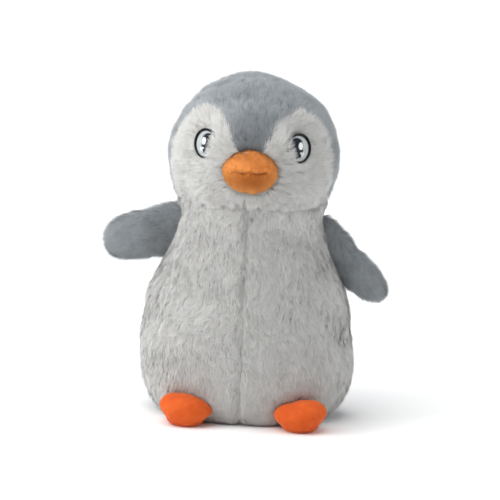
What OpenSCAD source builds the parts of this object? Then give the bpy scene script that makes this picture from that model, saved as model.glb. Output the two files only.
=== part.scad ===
// Plush penguin, standing upright on a flat base, built from sewn panels over stuffing.
// The toy faces -Y and stands on z = 0. Left and right are the toy's own, so its left is +X.
// Panel surfaces lie where the pile is pressed down; the loose fur tips stand a little proud.

/* [Body] */
// Widest width of the body
body_w = 142; // [130:1:150]
// Widest depth of the body, front to back
body_d = 106; // [98:1:112]
// Height of the widest place above the floor
widest_z = 40; // [34:1:46]
// How far the body draws in at the floor, as a share of its width
base_tuck = 0.24; // [0.18:0.01:0.26]
// Width of the body at the neck seam
neck_w = 92; // [88:1:96]
// Depth of the body at the neck seam
neck_d = 86; // [84:1:90]
// Height of the neck seam
neck_z = 146; // [144:1:147]

/* [Head] */
// Width of the head
head_w = 114; // [110:1:118]
// Depth of the head, front to back
head_d = 106; // [102:1:108]
// Height of the head, chin to crown, taken as a full oval
head_h = 116; // [114:1:120]
// Height of the head's centre
head_z = 181; // [180:1:184]
// Angle round the head, from the front, of the seam between white face and grey side
face_edge = 71; // [68:1:73]
// Elevation on the head of the top of each white face lobe
lobe_top = 48; // [46:1:52]
// Elevation on the head of the point of the grey forehead
forehead_tip = 10; // [8:1:14]

/* [Fabric] */
// Thickness of the plush with its pile pressed down
plush_t = 4.5; // [3.5:0.5:5]
// Thickness of the short velour on the beak and feet
velour_t = 2; // [1.5:0.5:2.5]
// Gap left between neighbouring panels, where the seam is
seam_gap = 0.5; // [0.4:0.1:0.8]

/* [Eyes] */
// Diameter of an eye's clear dome
eye_d = 18.5; // [16:0.5:20]
// How far the dome stands out
dome_h = 4.6; // [3.5:0.1:5]
// Sideways distance of an eye from the middle
eye_x = 31.5; // [30:0.5:33]
// Height of an eye's centre
eye_z = 198; // [196:0.5:200]
// How far an eye turns outwards from straight ahead
eye_yaw = 42; // [38:1:48]
// How far an eye looks up
eye_pitch = 8; // [4:1:12]

/* [Beak] */
// Width of the beak
beak_w = 38; // [34:1:42]
// Height of the beak
beak_h = 30; // [26:1:32]
// How far the beak stands out of the face
beak_out = 16; // [12:1:18]
// Height of the mouth seam
beak_z = 184; // [183:1:186]

/* [Wings] */
// Length of a wing from its shoulder to its tip
wing_len = 40; // [34:1:42]
// Widest width of a wing
wing_w = 28; // [26:1:30]
// Thickness of a stuffed wing
wing_t = 15; // [12:1:17]
// Sideways distance of the shoulder from the middle
shoulder_x = 61.5; // [61:0.5:63]
// Height of the shoulder
shoulder_z = 127; // [125:1:129]
// How far the right wing hangs below level
right_wing_drop = 5; // [0:1:20]
// How far the left wing hangs below level
left_wing_drop = 47; // [20:1:48]

/* [Feet] */
// Width of a foot
foot_w = 33; // [30:1:35]
// Length of a foot, heel to toe
foot_l = 27; // [25:1:30]
// Thickness of a stuffed foot
foot_h = 18; // [15:1:19]
// Sideways distance of a foot from the middle
foot_x = 40; // [38:1:43]
// Distance of a foot's middle in front of the body's middle
foot_front = 50.5; // [50:0.5:52]
// How far each foot points outwards
foot_splay = 8; // [4:1:12]

/* [Hidden] */

white = "#f0efe9";
grey = "#9aa1a6";
orange = "#e8772e";
filling = "#f7f4ea";

clear = 0.4;            // free space between layers that touch on the real toy
base_t = 3.6;           // thickness of the base panel
base_lift = 0.5;        // the soles stay this far off the floor
bag_h = 19;             // height of the pellet bag
core_r = 34;            // radius of the neck's stuffing
core_drop = 8;          // how far the neck's stuffing reaches down into the body
core_rise = 4;          // and up towards the head
neck_low_e = -30;       // elevation on the head of its lower edge at the sides
nod_room = 6;           // how much higher that edge is at the front and back
crown_half = 30;        // half-width of the grey strip over the crown, in degrees
nape_half = 13;         // and at the nape
v_slope = 0.62;         // how fast the grey forehead widens, in degrees per degree of elevation
v_foot = 6;             // half-angle that it has close above the beak
v_flare = 22;           // how far its edge swings out round the top of each white lobe
v_flare_e = 30;         // elevation where that swing starts
lobe_taper = 19;        // how far the outer edge of a white lobe leans in at its top
lobe_taper_e = 12;      // elevation where it starts to lean
nape_m = 203;           // where that strip ends, from straight ahead over the crown

cup_rim = 1.2;          // width of the black rim round the dome
cup_t = 1.4;            // thickness of the cup's floor
iris_t = 0.5;
stem_r = 2.2;
stem_len = 13;
washer_r = 8;
washer_t = 1.6;
washer_back = 11;       // how far behind the iris the washer's back lies
eye_lift = 0.6;         // how far the iris stands off the pressed pile

// ---------- numbers and outlines ----------

function mix(a, b, t) = a + (b - a) * t;
function clamp(v, low, high) = min(max(v, low), high);
function middle(points) = [for (k = [0:2]) let (all = [for (p = points) p[k]]) sum(all) / len(points)];
function sum(list, i = 0) = i < len(list) ? list[i] + sum(list, i + 1) : 0;

// Share of the way from the widest place to the neck seam, eased at both ends
function shoulder_ease(z) =
    let (t = clamp((z - widest_z) / (neck_z - widest_z), 0, 1)) 0.5 - 0.5 * cos(180 * pow(t, 1.5));

// Half the body's width or depth at height z, from its widest and neck sizes
function body_half(z, wide, neck) =
    z < widest_z
        ? wide / 2 * (1 - base_tuck * pow((widest_z - z) / widest_z, 2.5))
        : mix(wide / 2, neck / 2, shoulder_ease(z));

// Point on the body: height z, angle a round from the front towards +X, skin depth t inwards
function body_point(z, a, t = 0) = [
    (body_half(z, body_w, neck_w) - t) * sin(a),
    -(body_half(z, body_d, neck_d) - t) * cos(a),
    z
];

// Point on the head: angle a round from the front, elevation e, skin depth t inwards
function head_point(a, e, t = 0) = [
    (head_w / 2 - t) * sin(a) * cos(e),
    -(head_d / 2 - t) * cos(a) * cos(e),
    head_z + (head_h / 2 - t) * sin(e)
];

// The same with angle m from straight ahead over the crown, and b sideways from that line
function crown_point(m, b, t = 0) = [
    (head_w / 2 - t) * sin(b),
    -(head_d / 2 - t) * cos(b) * cos(m),
    head_z + (head_h / 2 - t) * cos(b) * sin(m)
];

// Front surface of the head at x, z
function head_y(x, z) =
    -head_d / 2 * sqrt(max(0.02, 1 - pow(2 * x / head_w, 2) - pow(2 * (z - head_z) / head_h, 2)));

// Lower edge of the head's panels, raised at the front and back to leave room to nod
function head_low(a) = neck_low_e + nod_room * abs(cos(a));

// Angle of the edge of the grey forehead at elevation e
function forehead_edge(e) =
    let (rise = max(0, e - forehead_tip), flare = max(0, e - v_flare_e) / (lobe_top - v_flare_e))
        v_slope * rise + v_foot * min(1, rise / 4) + v_flare * pow(flare, 2.5);

// Angle of the outer edge of the white face at elevation e
function face_outer(e) =
    face_edge - lobe_taper * pow(clamp((e - lobe_taper_e) / (lobe_top - lobe_taper_e), 0, 1), 1.6);

// Half-width of the strip over the crown at angle m
function crown_edge(m) = mix(crown_half, nape_half, clamp((m - 90) / (nape_m - 90), 0, 1));

// A square grid place (u, v from -1 to 1) laid on a round disc
function disc(u, v) = [u * sqrt(1 - v * v / 2), v * sqrt(1 - u * u / 2)];

// ---------- closed solids from grids of points ----------

// The skin between two grids of the same size, closed round its edge. Rows by columns turn
// outwards by the left-hand rule. Each cell is split so that its diagonal points at the nearest corner.
module panel(outer, inner) {
    rows = len(outer);
    cols = len(outer[0]);
    count = rows * cols;
    rim = concat(
        [for (j = [0:cols - 1]) j],
        [for (i = [1:rows - 1]) i * cols + cols - 1],
        [for (j = [cols - 2:-1:0]) (rows - 1) * cols + j],
        [for (i = [rows - 2:-1:1]) i * cols]
    );
    faces = concat(
        [for (i = [0:rows - 2], j = [0:cols - 2]) each
            let (a = i * cols + j, b = a + 1, c = b + cols, d = a + cols,
                 same_side = (2 * i < rows - 1) == (2 * j < cols - 1),
                 halves = same_side ? [[a, b, c], [a, c, d]] : [[a, b, d], [b, c, d]])
                concat(halves, [for (f = halves) [for (k = [2:-1:0]) count + f[k]]])],
        [for (k = [0:len(rim) - 1]) each
            let (a = rim[k], b = rim[(k + 1) % len(rim)]) [[b, a, count + a], [b, count + a, count + b]]]
    );
    polyhedron([each each outer, each each inner], faces, convexity = 6);
}

// A closed body through rings of points, each ring going round the same way, low to high
module blob(rings) {
    around = len(rings[0]);
    levels = len(rings);
    last = around * levels;
    faces = concat(
        [for (i = [0:levels - 2], j = [0:around - 1]) each
            let (k = (j + 1) % around, a = i * around + j, b = i * around + k)
                [[a, b + around, b], [a, a + around, b + around]]],
        [for (j = [0:around - 1]) each
            let (k = (j + 1) % around, top = (levels - 1) * around)
                [[last, j, k], [last + 1, top + k, top + j]]]
    );
    points = concat([each each rings], [middle(rings[0]), middle(rings[levels - 1])]);
    polyhedron(points, faces, convexity = 4);
}

module mirrored(left) {
    if (left) children();
    else mirror([1, 0, 0]) children();
}

// ---------- body ----------

// One quarter of the body's skin, between two angles round it, on the left side
module body_panel(from, to) {
    gap_a = asin(seam_gap / body_w);
    low = base_t + clear;
    heights = [for (i = [0:18]) mix(low, neck_z, i / 18)];
    function grid(t) =
        [for (z = heights) [for (j = [0:12]) body_point(z, mix(from + gap_a, to - gap_a, j / 12), t)]];
    panel(grid(0), grid(plush_t));
}

module belly(left) {
    color(white) mirrored(left) body_panel(0, 90);
}

module back(left) {
    color(grey) mirrored(left) body_panel(90, 180);
}

module base_panel() {
    color(white) linear_extrude(base_t)
        polygon([for (a = [0:7.5:352.5]) let (p = body_point(base_t, a, seam_gap)) [p[0], p[1]]]);
}

module body_stuffing() {
    t = plush_t + clear;
    low = base_t + bag_h + 3 * clear;
    high = neck_z - core_drop;
    color(filling)
        blob([for (i = [0:12]) [for (a = [0:15:345]) body_point(mix(low, high, i / 12), -a, t)]]);
}

// A sewn bag of plastic pellets that weighs down the base
module pellet_bag() {
    z = base_t + clear;
    color("#cfc8b8") blob([for (k = [0:8])
        let (e = mix(-80, 80, k / 8), r = 0.72 * (0.55 + 0.45 * cos(e)))
            [for (a = [0:15:345]) let (p = body_point(widest_z / 2, -a, 0))
                [p[0] * r, p[1] * r, z + bag_h / 2 * (1 + sin(e) / sin(80))]]]);
}

module neck_stuffing() {
    round_r = 3;
    color(filling) translate([0, 0, neck_z - core_drop + clear]) rotate_extrude($fn = 96)
        hull() {
            square([core_r, 1]);
            square([1, core_drop + core_rise]);
            translate([core_r - round_r, core_drop + core_rise - round_r]) circle(round_r, $fn = 32);
        }
}

// ---------- head ----------

module face_skin() {
    gap_a = asin(2 * seam_gap / head_w);
    function edge(e) = forehead_edge(e) + gap_a;
    function grid(t) =
        [for (i = [0:16]) [for (j = [0:10])
            let (s = j / 10, low_a = face_edge * s, e = mix(head_low(low_a), lobe_top, i / 16))
                head_point(mix(edge(e), face_outer(e), s), e, t)]];
    panel(grid(0), grid(plush_t));
}

module face(left) {
    color(white) mirrored(left) difference() {
        face_skin();
        at_eye() {
            translate([0, 0, -cup_t - clear]) cylinder(h = 20, r = eye_d / 2 + cup_rim + clear, $fn = 64);
            translate([0, 0, -stem_len]) cylinder(h = stem_len, r = stem_r + clear, $fn = 48);
        }
    }
}

// Edge of the crown strip as [m, b]: first the forehead's V, then over the crown to the nape
function strip_edge(k) =
    k < 0.35
        ? let (e = mix(forehead_tip + 2, lobe_top, k / 0.35), a = forehead_edge(e))
            [atan2(sin(e), cos(e) * cos(a)), asin(sin(a) * cos(e))]
        : let (a = forehead_edge(lobe_top), m0 = atan2(sin(lobe_top), cos(lobe_top) * cos(a)),
               m = mix(m0, nape_m, (k - 0.35) / 0.65))
            [m, crown_edge(m)];

module forehead_gusset() {
    gap_b = asin(2 * seam_gap / head_w);
    function grid(t) =
        [for (i = [0:30]) let (edge = strip_edge(i / 30), half = max(edge[1] - gap_b, 0.4))
            [for (j = [0:8]) crown_point(edge[0], mix(-half, half, j / 8), t)]];
    color(grey) panel(grid(0), grid(plush_t));
}

module head_side(left) {
    gap_a = asin(2 * seam_gap / head_w) + 0.4;
    tip = strip_edge(0.35);
    // Edge along the crown strip as [angle round, elevation]
    function back_edge(k) =
        let (m = mix(nape_m, tip[0] + 4, k), b = crown_edge(m) + gap_a)
            [atan2(sin(b), cos(b) * cos(m)), asin(cos(b) * sin(m))];
    function front_edge(k) =
        let (e = mix(head_low(face_edge), lobe_top, k)) [face_outer(e) + gap_a, e];
    function grid(t) =
        [for (i = [0:14]) let (f = front_edge(i / 14), g = back_edge(i / 14))
            [for (j = [0:12])
                let (s = j / 12, a = mix(f[0], g[0], s), e = mix(f[1], g[1], s))
                    head_point(a, max(e, head_low(a)), t)]];
    color(grey) mirrored(left) panel(grid(0), grid(plush_t));
}

module head_stuffing() {
    t = plush_t + clear;
    e_low = neck_low_e + nod_room;
    color(filling) difference() {
        blob([for (i = [0:12]) [for (a = [0:15:345]) head_point(-a, mix(e_low, 84, i / 12), t)]]);
        for (left = [true, false]) mirrored(left) at_eye()
            translate([0, 0, -stem_len - clear]) cylinder(h = stem_len + 8, r = washer_r + clear, $fn = 48);
    }
}

// ---------- beak ----------

// Front surface of the beak, from corner to corner (a) and seam to rim (b), t inwards
function beak_point(a, b, t) =
    let (x = (beak_w / 2 - t) * sin(a), z = beak_z + (beak_h / 2 - t) * cos(a) * sin(b))
        [x, head_y(x, z) - clear - (beak_out - t) * cos(a) * cos(b), z];

module beak_half(from, to) {
    function grid(t) =
        [for (i = [0:9]) [for (j = [0:18])
            beak_point(mix(-84, 84, j / 18), mix(from, to, i / 9), t)]];
    panel(grid(0), grid(velour_t));
}

module beak_upper() {
    color(orange) beak_half(1.5, 88);
}

module beak_lower() {
    color(orange) beak_half(-88, -1.5);
}

module beak_stuffing() {
    t = velour_t + clear;
    function front(u, v) =
        let (p = disc(u, v) * 0.97, x = (beak_w / 2 - t) * p[0], z = beak_z + (beak_h / 2 - t) * p[1])
            [x, head_y(x, z) - clear - (beak_out - t) * sqrt(max(0, 1 - p[0] * p[0] - p[1] * p[1])), z];
    function rear(p) = [p[0], head_y(p[0], p[2]) - clear, p[2]];
    steps = [for (i = [0:12]) i / 6 - 1];
    outer = [for (v = steps) [for (u = steps) front(u, v)]];
    color(filling) panel(outer, [for (row = outer) [for (p = row) rear(p)]]);
}

// ---------- eyes ----------

// Moves to the left eye's place: z = 0 is the back of the iris, +Z looks out of the eye
module at_eye() {
    translate([eye_x, head_y(eye_x, eye_z), eye_z])
        rotate([90 - eye_pitch, 0, eye_yaw]) translate([0, 0, eye_lift]) children();
}

module eye_dome(left) {
    curve_r = (pow(eye_d / 2, 2) + pow(dome_h, 2)) / (2 * dome_h);
    color("gainsboro", 0.5) mirrored(left) at_eye() translate([0, 0, iris_t]) intersection() {
        translate([0, 0, dome_h - curve_r]) sphere(curve_r, $fn = 96);
        cylinder(h = dome_h + 1, r = eye_d / 2, $fn = 96);
    }
}

module eye_iris(left) {
    color("silver") mirrored(left) at_eye() cylinder(h = iris_t, r = eye_d / 2, $fn = 96);
}

// Black backing with a rim round the dome and a ribbed stem through the cloth
module eye_cup(left) {
    ribs = 5;
    color("#151515") mirrored(left) at_eye() {
        difference() {
            translate([0, 0, -cup_t]) cylinder(h = cup_t + iris_t + 0.8, r = eye_d / 2 + cup_rim, $fn = 96);
            cylinder(h = 5, r = eye_d / 2, $fn = 96);
        }
        translate([0, 0, -stem_len]) cylinder(h = stem_len - cup_t, r = stem_r - 0.3, $fn = 48);
        for (k = [1:ribs])
            translate([0, 0, -stem_len + k * 1.5 - 1]) cylinder(h = 0.7, r = stem_r, $fn = 48);
    }
}

module eye_washer(left) {
    color("gray") mirrored(left) at_eye() translate([0, 0, -washer_back]) difference() {
        cylinder(h = washer_t, r = washer_r, $fn = 64);
        translate([0, 0, -1]) cylinder(h = washer_t + 2, r = stem_r + 0.05, $fn = 48);
    }
}

// ---------- wings ----------

// Half the wing's width at share s of its length: a narrow knuckle, a broad middle, a round tip
function wing_half(s) =
    let (grow = 0.45 + 0.55 * sin(90 * clamp(s / 0.45, 0, 1)),
         tip = sqrt(max(0.01, 1 - pow(clamp((s - 0.6) / 0.4, 0, 1), 2))))
        wing_w / 2 * grow * tip;

// Point on a wing that reaches along +X: share s of its length, angle p over it, t inwards
function wing_point(s, p, t) =
    let (thick = wing_t / wing_w * (1.15 - 0.3 * s), half = max(wing_half(s) - t, 0.5))
        [mix(-5 + t, wing_len - t, s), -half * thick * sin(p), half * cos(p)];

module at_shoulder(left) {
    drop = left ? left_wing_drop : right_wing_drop;
    mirrored(left) translate([shoulder_x, 0, shoulder_z]) rotate([0, drop, 0]) children();
}

module wing_shell(from, to) {
    function grid(t) =
        [for (i = [0:12]) [for (j = [0:10]) wing_point(i / 12, mix(from, to, j / 10), t)]];
    panel(grid(0), grid(velour_t));
}

module wing_front(left) {
    color(grey) at_shoulder(left) wing_shell(176, 4);
}

module wing_back(left) {
    color(grey) at_shoulder(left) wing_shell(-4, -176);
}

module wing_stuffing(left) {
    t = velour_t + clear;
    color(filling) at_shoulder(left) rotate([0, 90, 0])
        blob([for (i = [0:12]) [for (a = [0:20:340])
            let (p = wing_point(i / 12, a, t)) [-p[2], p[1], p[0]]]]);
}

// ---------- feet ----------

// Height of a foot's top over a place on its round plan; it thins towards the heel
function foot_top(p, t) =
    let (heel = clamp(0.62 - 0.62 * p[1], 0.2, 1), swell = sqrt(max(0, 1 - p[0] * p[0] - p[1] * p[1])))
        base_lift + velour_t + 3 + (foot_h - velour_t - base_lift - 3) * heel * swell - t;

function foot_plan(p, t) = [(foot_w / 2 - t) * p[0], (foot_l / 2 - t) * p[1]];

module at_foot(left) {
    mirrored(left) translate([foot_x, -foot_front, 0]) rotate([0, 0, foot_splay]) children();
}

module foot_upper(left) {
    steps = [for (i = [0:12]) i / 6 - 1];
    low = base_lift + velour_t + clear;
    function grid(t) = [for (v = steps) [for (u = steps)
        let (p = disc(u, v), q = foot_plan(p, t), edge = max(abs(u), abs(v)) == 1)
            [q[0], q[1], edge ? low : foot_top(p, t)]]];
    color(orange) at_foot(left) panel(grid(0), grid(velour_t));
}

module foot_sole(left) {
    color(orange) at_foot(left) translate([0, 0, base_lift]) linear_extrude(velour_t)
        polygon([for (a = [0:10:350]) foot_plan([cos(a), sin(a)], seam_gap)]);
}

module foot_stuffing(left) {
    steps = [for (i = [0:12]) i / 6 - 1];
    t = velour_t + clear;
    low = base_lift + velour_t + clear;
    top = [for (v = steps) [for (u = steps)
        let (p = disc(u, v), q = foot_plan(p, t)) [q[0], q[1], max(foot_top(p, t), low + 0.3)]]];
    color(filling) at_foot(left) panel(top, [for (row = top) [for (p = row) [p[0], p[1], low]]]);
}

belly(true);  // belly_left
belly(false);  // belly_right
back(true);  // back_left
back(false);  // back_right
base_panel();
body_stuffing();
pellet_bag();
neck_stuffing();
face(true);  // face_left
face(false);  // face_right
forehead_gusset();
head_side(true);  // head_side_left
head_side(false);  // head_side_right
head_stuffing();
beak_upper();
beak_lower();
beak_stuffing();
eye_dome(true);  // eye_dome_left
eye_dome(false);  // eye_dome_right
eye_iris(true);  // eye_iris_left
eye_iris(false);  // eye_iris_right
eye_cup(true);  // eye_cup_left
eye_cup(false);  // eye_cup_right
eye_washer(true);  // eye_washer_left
eye_washer(false);  // eye_washer_right
wing_front(true);  // wing_front_left
wing_back(true);  // wing_back_left
wing_stuffing(true);  // wing_stuffing_left
wing_front(false);  // wing_front_right
wing_back(false);  // wing_back_right
wing_stuffing(false);  // wing_stuffing_right
foot_upper(true);  // foot_upper_left
foot_sole(true);  // foot_sole_left
foot_stuffing(true);  // foot_stuffing_left
foot_upper(false);  // foot_upper_right
foot_sole(false);  // foot_sole_right
foot_stuffing(false);  // foot_stuffing_right
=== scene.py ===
"""A plush penguin: its fur, velour, eyes and stuffing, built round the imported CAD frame.

The toy faces -Y and stands on z = 0; its own left is +X. Shapes are worked out in millimetres
and become metres when a mesh is made.
"""
import math

import bpy
import numpy as np
from mathutils import Matrix, Vector
from mathutils.bvhtree import BVHTree


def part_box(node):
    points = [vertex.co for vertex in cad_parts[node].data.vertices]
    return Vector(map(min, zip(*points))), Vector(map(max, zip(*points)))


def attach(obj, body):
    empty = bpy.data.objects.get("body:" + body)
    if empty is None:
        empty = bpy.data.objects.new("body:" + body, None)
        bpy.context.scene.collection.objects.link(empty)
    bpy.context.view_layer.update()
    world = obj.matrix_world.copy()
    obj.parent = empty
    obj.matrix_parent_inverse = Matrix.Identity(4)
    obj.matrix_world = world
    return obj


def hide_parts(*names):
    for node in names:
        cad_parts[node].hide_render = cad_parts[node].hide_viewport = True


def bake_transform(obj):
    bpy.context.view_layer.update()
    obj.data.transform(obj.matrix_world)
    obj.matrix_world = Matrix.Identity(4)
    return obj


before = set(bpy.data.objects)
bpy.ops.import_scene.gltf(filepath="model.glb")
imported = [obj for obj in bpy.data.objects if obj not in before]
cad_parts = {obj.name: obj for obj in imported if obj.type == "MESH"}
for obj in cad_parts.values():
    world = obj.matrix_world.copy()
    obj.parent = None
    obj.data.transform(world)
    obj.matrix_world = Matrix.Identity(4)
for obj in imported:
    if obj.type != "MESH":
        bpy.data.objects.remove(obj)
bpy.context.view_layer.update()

MM = 0.001
SIDES = {"left": 1.0, "right": -1.0}
SCENE = bpy.context.scene


# ---- sizes from the frame

def box_mm(node):
    low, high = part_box(node)
    return np.array(low) / MM, np.array(high) / MM


belly_low, belly_high = box_mm("belly_left")
side_high = box_mm("head_side_left")[1]
crown_high = box_mm("forehead_gusset")[1]
beak_high = box_mm("beak_upper")[1]
body_half_w = belly_high[0]
body_half_d = -belly_low[1]
body_bottom = belly_low[2]
neck_z = belly_high[2]
head_half_w = side_high[0]
head_half_d = crown_high[1]
head_half_h = 58.0      # half the head's height, if it went on down into the neck
head_z = crown_high[2] - head_half_h
beak_half_w = beak_high[0] + 0.8

WIDEST_Z = 40.0         # height where the body is widest
BASE_TUCK = 0.24        # how far the body draws in at the floor
NECK_HALF_W = 46.0
NECK_HALF_D = 43.0
FOLD_Z = 158.0          # the body's panels reach up to the head's here, under the chin fur
HEAD_LOW_E = -23.5      # elevation on the head of its lower edge
FACE_EDGE = {"left": 67.0, "right": 72.0}    # angle round the head of each seam of the white face
LOBE_TOP = 40.5         # elevation of the top of each white lobe, before its pile lies upwards
V_TIP = 10.0            # elevation of the point of the grey forehead
CROWN_HALF = 30.0       # half-width of the strip over the crown, in degrees
NAPE_HALF = 13.0
NAPE_M = 204.0          # end of that strip, from straight ahead over the crown

EYE_X = 31.5
EYE_Z = 198.0           # and X: the place of an eye's middle on the head
EYE_YAW = math.radians(42)
EYE_PITCH = math.radians(8)
EYE_R = 9.25            # the clear dome
RIM_R = 10.45           # the black rim round it
BEAK_Z = 181.8
BEAK_UP = 15.0          # half-heights of the beak over and under BEAK_Z
BEAK_DOWN = 16.0
BEAK_OUT = 16.2
MOUTH_Z = 183.8

SKIN_IN = 1.4           # the cloth lies this far inside the pressed pile's surface
SKIN_T = 1.2
PILE_LOW = 0.45         # no strand reaches lower than this over the floor


# ---- outlines

def disc(u, v):
    """A place in the unit disc for a place in the square from -1 to 1."""
    return u * np.sqrt(1 - v * v / 2), v * np.sqrt(1 - u * u / 2)


def unit(v):
    return v / np.maximum(np.linalg.norm(v, axis=-1, keepdims=True), 1e-9)


def smooth(t):
    t = np.clip(t, 0, 1)
    return t * t * (3 - 2 * t)


def sind(a):
    return np.sin(np.radians(a))


def cosd(a):
    return np.cos(np.radians(a))


def body_half(z, wide, neck):
    """Half the body's width or depth at height z."""
    low = wide * (1 - BASE_TUCK * np.maximum(0, (WIDEST_Z - z) / WIDEST_Z) ** 2.5)
    t = np.clip((z - WIDEST_Z) / (neck_z - WIDEST_Z), 0, 1)
    high = wide + (neck - wide) * (0.5 - 0.5 * np.cos(np.pi * t ** 1.5))
    above = z - neck_z
    flare = 0.26 * (above + np.sqrt(above ** 2 + 60)) * smooth((z - neck_z + 30) / 25)
    return np.where(z < WIDEST_Z, low, high) + flare


def body_point(z, a):
    return np.stack([body_half(z, body_half_w, NECK_HALF_W) * sind(a),
                     -body_half(z, body_half_d, NECK_HALF_D) * cosd(a), z + 0 * a], -1)


def head_point(a, e):
    return np.stack([head_half_w * sind(a) * cosd(e), -head_half_d * cosd(a) * cosd(e),
                     head_z + head_half_h * sind(e) + 0 * a], -1)


def crown_point(m, b):
    return np.stack([head_half_w * sind(b), -head_half_d * cosd(b) * cosd(m),
                     head_z + head_half_h * cosd(b) * sind(m)], -1)


def head_y(x, z):
    inside = 1 - (x / head_half_w) ** 2 - ((z - head_z) / head_half_h) ** 2
    return -head_half_d * np.sqrt(np.maximum(0.02, inside))


def forehead_edge(e):
    rise = np.maximum(0, e - V_TIP)
    flare = np.clip((e - 26) / (LOBE_TOP - 26), 0, 1)
    return 0.6 * rise + 6 * np.minimum(1, rise / 4) + 21 * (1 - np.sqrt(1 - flare ** 2))


def face_outer(e, edge):
    top = forehead_edge(LOBE_TOP) + 1.5
    return edge - (edge - top) * (1 - np.sqrt(1 - np.clip((e - 8) / (LOBE_TOP - 8), 0, 1) ** 2))


def crown_edge(m):
    return CROWN_HALF + (NAPE_HALF - CROWN_HALF) * np.clip((m - 90) / (NAPE_M - 90), 0, 1)


def strip_edge(k):
    """Edge of the crown strip as (m, b) at share k of its length."""
    e = V_TIP + (LOBE_TOP - V_TIP) * np.clip(k / 0.35, 0.02, 1)
    a = forehead_edge(e)
    m = np.degrees(np.arctan2(sind(e), cosd(e) * cosd(a)))
    b = np.degrees(np.arcsin(sind(a) * cosd(e)))
    a_top = forehead_edge(LOBE_TOP)
    m_top = np.degrees(np.arctan2(sind(LOBE_TOP), cosd(LOBE_TOP) * cosd(a_top)))
    m_back = m_top + (NAPE_M - m_top) * (k - 0.35) / 0.65
    return np.where(k < 0.35, m, m_back), np.where(k < 0.35, b, crown_edge(m_back))


# Each panel gives points for shares s (rows) and t (columns) on the toy's left side.

def belly_panel(s, t):
    return body_point(body_bottom + (FOLD_Z - body_bottom) * s, 90 * t)


def back_panel(s, t):
    return body_point(body_bottom + (FOLD_Z - body_bottom) * s, 90 + 90 * t)


def face_panel(edge):
    def panel(s, t):
        e = HEAD_LOW_E + (LOBE_TOP - HEAD_LOW_E) * s
        a = forehead_edge(e) + (face_outer(e, edge) - forehead_edge(e)) * t
        return head_point(a, e)
    return panel


def forehead_panel(s, t):
    m, b = strip_edge(s)
    return crown_point(m, b * (2 * t - 1))


def side_panel(edge):
    def panel(s, t):
        e_front = HEAD_LOW_E + (LOBE_TOP - HEAD_LOW_E) * s
        a_front = face_outer(e_front, edge)
        m_tip = strip_edge(np.array(0.35))[0]
        m = NAPE_M + (m_tip - NAPE_M) * s
        b = crown_edge(m)
        a_back = np.degrees(np.arctan2(sind(b), cosd(b) * cosd(m)))
        e_back = np.degrees(np.arcsin(cosd(b) * sind(m)))
        e = e_front + (e_back - e_front) * t
        return head_point(a_front + (a_back - a_front) * t, np.maximum(e, HEAD_LOW_E))
    return panel


# ---- soft shape of the stuffed skin

def bump(points, centre, radius):
    d = np.linalg.norm(points - np.array(centre), axis=-1)
    return np.exp(-(d / radius) ** 2)


def lumps(points, size, seed):
    """Slow unevenness from a few waves, between about -1 and 1."""
    rng = np.random.default_rng(seed)
    total = np.zeros(points.shape[:-1])
    for _ in range(6):
        way = unit(rng.normal(size=3))
        total += np.sin(points @ way * (2 * np.pi / size) * rng.uniform(0.6, 1.5) + rng.uniform(0, 6.28))
    return total / 3.2


# ---- meshes

def make_mesh(name, verts, quads, tris):
    """A smooth-shaded mesh object from millimetre points and faces, linked to the scene."""
    mesh = bpy.data.meshes.new(name)
    quads = np.asarray(quads, np.int32).reshape(-1, 4)
    tris = np.asarray(tris, np.int32).reshape(-1, 3)
    corners = np.concatenate([quads.ravel(), tris.ravel()])
    sizes = np.concatenate([np.full(len(quads), 4), np.full(len(tris), 3)])
    mesh.vertices.add(len(verts))
    mesh.vertices.foreach_set("co", (np.asarray(verts) * MM).astype(np.float32).ravel())
    mesh.loops.add(len(corners))
    mesh.loops.foreach_set("vertex_index", corners)
    mesh.polygons.add(len(sizes))
    mesh.polygons.foreach_set("loop_start", (np.cumsum(sizes) - sizes).astype(np.int32))
    mesh.update(calc_edges=True)
    mesh.polygons.foreach_set("use_smooth", np.full(len(sizes), True))
    obj = bpy.data.objects.new(name, mesh)
    SCENE.collection.objects.link(obj)
    return obj


def set_uv(obj, uv):
    """One UV place for each vertex, on the layer that the export bakes to."""
    mesh = obj.data
    layer = mesh.uv_layers.new(name="OFBake")
    index = np.zeros(len(mesh.loops), np.int32)
    mesh.loops.foreach_get("vertex_index", index)
    layer.data.foreach_set("uv", uv[index].astype(np.float32).ravel())


def set_values(obj, name, values):
    layer = obj.data.attributes.new(name, "FLOAT", "POINT")
    layer.data.foreach_set("value", np.asarray(values, np.float32))


def shell(name, outer, inner):
    """A thin closed skin between two grids of points, its faces turned outwards."""
    rows, cols = outer.shape[:2]
    count = rows * cols
    index = np.arange(count).reshape(rows, cols)
    a, b = index[:-1, :-1].ravel(), index[:-1, 1:].ravel()
    c, d = index[1:, 1:].ravel(), index[1:, :-1].ravel()
    front = np.stack([a, b, c, d], 1)
    back = np.stack([d, c, b, a], 1) + count
    rim = np.concatenate([index[0, :], index[1:, -1], index[-1, -2::-1], index[-2:0:-1, 0]])
    after = np.roll(rim, -1)
    edge = np.stack([after, rim, rim + count, after + count], 1)
    turn = outer[0, 0] - outer[0, 1], outer[1, 0] - outer[0, 0]
    flip = np.dot(np.cross(*turn), inner[0, 0] - outer[0, 0]) < 0
    faces = np.concatenate([front, back, edge])
    obj = make_mesh(name, np.concatenate([outer.reshape(-1, 3), inner.reshape(-1, 3)]),
                    faces[:, ::-1] if flip else faces, [])
    s, t = np.meshgrid(np.linspace(0, 1, rows), np.linspace(0, 1, cols), indexing="ij")
    uv = np.stack([t, s], -1).reshape(-1, 2)
    set_uv(obj, np.concatenate([uv * [0.48, 0.98] + 0.01, uv * [0.48, 0.98] + [0.51, 0.01]]))
    return obj


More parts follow.
